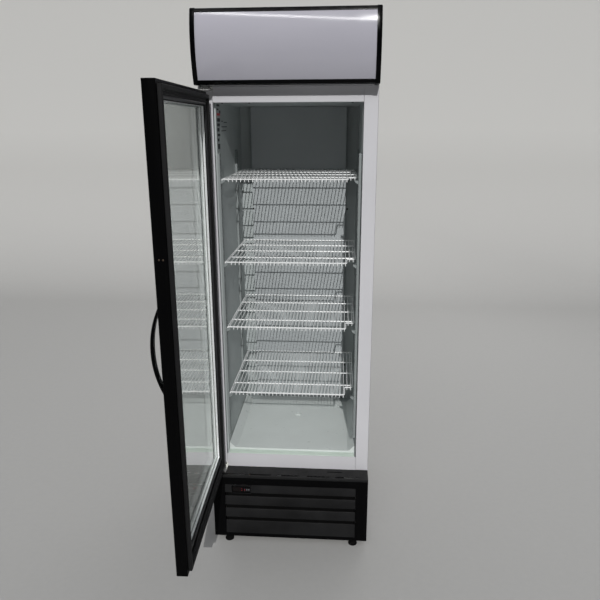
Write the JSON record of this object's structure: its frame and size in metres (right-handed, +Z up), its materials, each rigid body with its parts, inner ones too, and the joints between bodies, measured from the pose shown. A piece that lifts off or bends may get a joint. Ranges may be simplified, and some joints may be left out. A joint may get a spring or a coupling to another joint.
{
  "type": "glass door merchandiser",
  "caption": "Upright display cooler: white foamed cabinet with wire shelves, side-hinged glass door standing open, black louvred machine base and curved illuminated header.",
  "frame": {"origin": "on the floor, under the middle of the whole unit's bounding box with the door at its rest angle", "axes": "+X to the unit's right seen from the front, +Y from the front to the back, +Z up"},
  "size_m": [0.6447, 1.247, 2.018],
  "materials": {
    "white_steel": "satin white powder coat",
    "white_liner": "satin white pre-coated sheet",
    "galvanised": "bare galvanised sheet",
    "foam": "rigid polyurethane foam",
    "white_wire": "white plastic-coated wire",
    "white_plastic": "moulded white plastic",
    "black_steel": "black powder coat",
    "black_plastic": "moulded black plastic",
    "black_frame": "black extruded profile",
    "gasket": "dark grey flexible extrusion",
    "glass": "clear tempered float glass",
    "spacer": "mill-finish aluminium",
    "sign_acrylic": "translucent acrylic",
    "lamp": "frosted tube",
    "copper": "drawn copper tube",
    "aluminium": "bare fins and blades",
    "zinc": "zinc-plated steel",
    "compressor_black": "semi-gloss black enamel",
    "red_rocker": "translucent red plastic",
    "display": "dark red display window",
    "key_grey": "moulded rubber keys",
    "rubber": "black rubber on a steel stem"
  },
  "bodies": {
    "cabinet": {"back_panel": "galvanised", "base_pan": "galvanised", "canopy_end_left": "black_plastic", "canopy_end_right": "black_plastic", "canopy_housing": "white_steel", "canopy_trim_bottom": "black_plastic", "canopy_trim_top": "black_plastic", "compressor": "compressor_black", "condenser_coil": "aluminium", "condenser_fan_motor": "black_plastic", "condenser_fan_shroud": "galvanised", "controller_body": "black_plastic", "controller_window": "display", "cord_gland": "black_plastic", "discharge_pipe": "copper", "drain_spout": "white_plastic", "duct_panel": "white_liner", "evaporation_tray": "white_plastic", "evaporator_coil": "aluminium", "evaporator_fan_frame": "black_plastic", "filter_drier": "copper", "floor_pan": "white_plastic", "front_grille": "black_steel", "head_rail": "white_steel", "hinge_bottom": "zinc", "hinge_top": "zinc", "inner_liner": "white_liner", "insulation": "foam", "lamp_tube": "lamp", "outer_shell": "white_steel", "pilaster_front_left": "white_plastic", "pilaster_front_right": "white_plastic", "pilaster_rear_left": "white_plastic", "pilaster_rear_right": "white_plastic", "rear_grille": "galvanised", "sign_panel": "sign_acrylic", "sill_rail": "white_steel", "suction_pipe": "copper"},
    "door": {"door_frame": "black_frame", "door_gasket": "gasket", "glass_bead": "black_frame", "glass_outer": "glass", "glass_inner": "glass", "glass_spacer": "spacer", "door_handle": "black_plastic"},
    "evaporator_fan": {"evaporator_fan_rotor": "black_plastic"},
    "condenser_fan": {"condenser_fan_blade": "aluminium"},
    "shelf_one": {"shelf_1": "white_wire"},
    "shelf_two": {"shelf_2": "white_wire"},
    "shelf_three": {"shelf_3": "white_wire"},
    "shelf_four": {"shelf_4": "white_wire"},
    "levelling_foot_front_left": {"foot_front_left": "rubber"},
    "levelling_foot_front_right": {"foot_front_right": "rubber"},
    "levelling_foot_rear_left": {"foot_rear_left": "rubber"},
    "levelling_foot_rear_right": {"foot_rear_right": "rubber"},
    "set_key": {"key_set": "key_grey"},
    "up_key": {"key_up": "key_grey"},
    "down_key": {"key_down": "key_grey"},
    "upper_switch": {"light_switch_upper": "red_rocker"},
    "lower_switch": {"light_switch_lower": "red_rocker"}
  },
  "joints": [
    {"name": "door_hinge", "type": "hinge", "parent": "cabinet", "child": "door", "pos_m": [-0.2931, -0.0125, 1], "axis": [0, 0, 1], "range_deg": [-25, 88.84]},
    {"name": "evaporator_fan_spin", "type": "hinge", "parent": "cabinet", "child": "evaporator_fan", "pos_m": [0.0089, 0.555, 1.6], "axis": [0, 1, 0], "continuous": true},
    {"name": "condenser_fan_spin", "type": "hinge", "parent": "cabinet", "child": "condenser_fan", "pos_m": [0.0939, 0.0845, 0.165], "axis": [0, 1, 0], "continuous": true},
    {"name": "shelf_1_slide", "type": "slide", "parent": "cabinet", "child": "shelf_one", "axis": [0, 1, 0], "range_m": [-0.32, 0]},
    {"name": "shelf_2_slide", "type": "slide", "parent": "cabinet", "child": "shelf_two", "axis": [0, 1, 0], "range_m": [-0.32, 0]},
    {"name": "shelf_3_slide", "type": "slide", "parent": "cabinet", "child": "shelf_three", "axis": [0, 1, 0], "range_m": [-0.32, 0]},
    {"name": "shelf_4_slide", "type": "slide", "parent": "cabinet", "child": "shelf_four", "axis": [0, 1, 0], "range_m": [-0.32, 0]},
    {"name": "foot_front_left_turn", "type": "hinge", "parent": "cabinet", "child": "levelling_foot_front_left", "pos_m": [-0.2461, -0.0155, 0.015], "axis": [0, 0, 1], "continuous": true},
    {"name": "foot_front_right_turn", "type": "hinge", "parent": "cabinet", "child": "levelling_foot_front_right", "pos_m": [0.2639, -0.0155, 0.015], "axis": [0, 0, 1], "continuous": true},
    {"name": "foot_rear_left_turn", "type": "hinge", "parent": "cabinet", "child": "levelling_foot_rear_left", "pos_m": [-0.2461, 0.5595, 0.015], "axis": [0, 0, 1], "continuous": true},
    {"name": "foot_rear_right_turn", "type": "hinge", "parent": "cabinet", "child": "levelling_foot_rear_right", "pos_m": [0.2639, 0.5595, 0.015], "axis": [0, 0, 1], "continuous": true},
    {"name": "key_set_press", "type": "slide", "parent": "cabinet", "child": "set_key", "axis": [0, 1, 0], "range_m": [0, 0.0008], "stiffness_N_per_m": 1200},
    {"name": "key_up_press", "type": "slide", "parent": "cabinet", "child": "up_key", "axis": [0, 1, 0], "range_m": [0, 0.0008], "stiffness_N_per_m": 1200},
    {"name": "key_down_press", "type": "slide", "parent": "cabinet", "child": "down_key", "axis": [0, 1, 0], "range_m": [0, 0.0008], "stiffness_N_per_m": 1200},
    {"name": "upper_switch_rock", "type": "hinge", "parent": "cabinet", "child": "upper_switch", "pos_m": [0.3159, 0.0395, 1.886], "axis": [0, 1, 0], "range_deg": [0, 18]},
    {"name": "lower_switch_rock", "type": "hinge", "parent": "cabinet", "child": "lower_switch", "pos_m": [0.3159, 0.0395, 1.834], "axis": [0, 1, 0], "range_deg": [0, 18]}
  ]
}
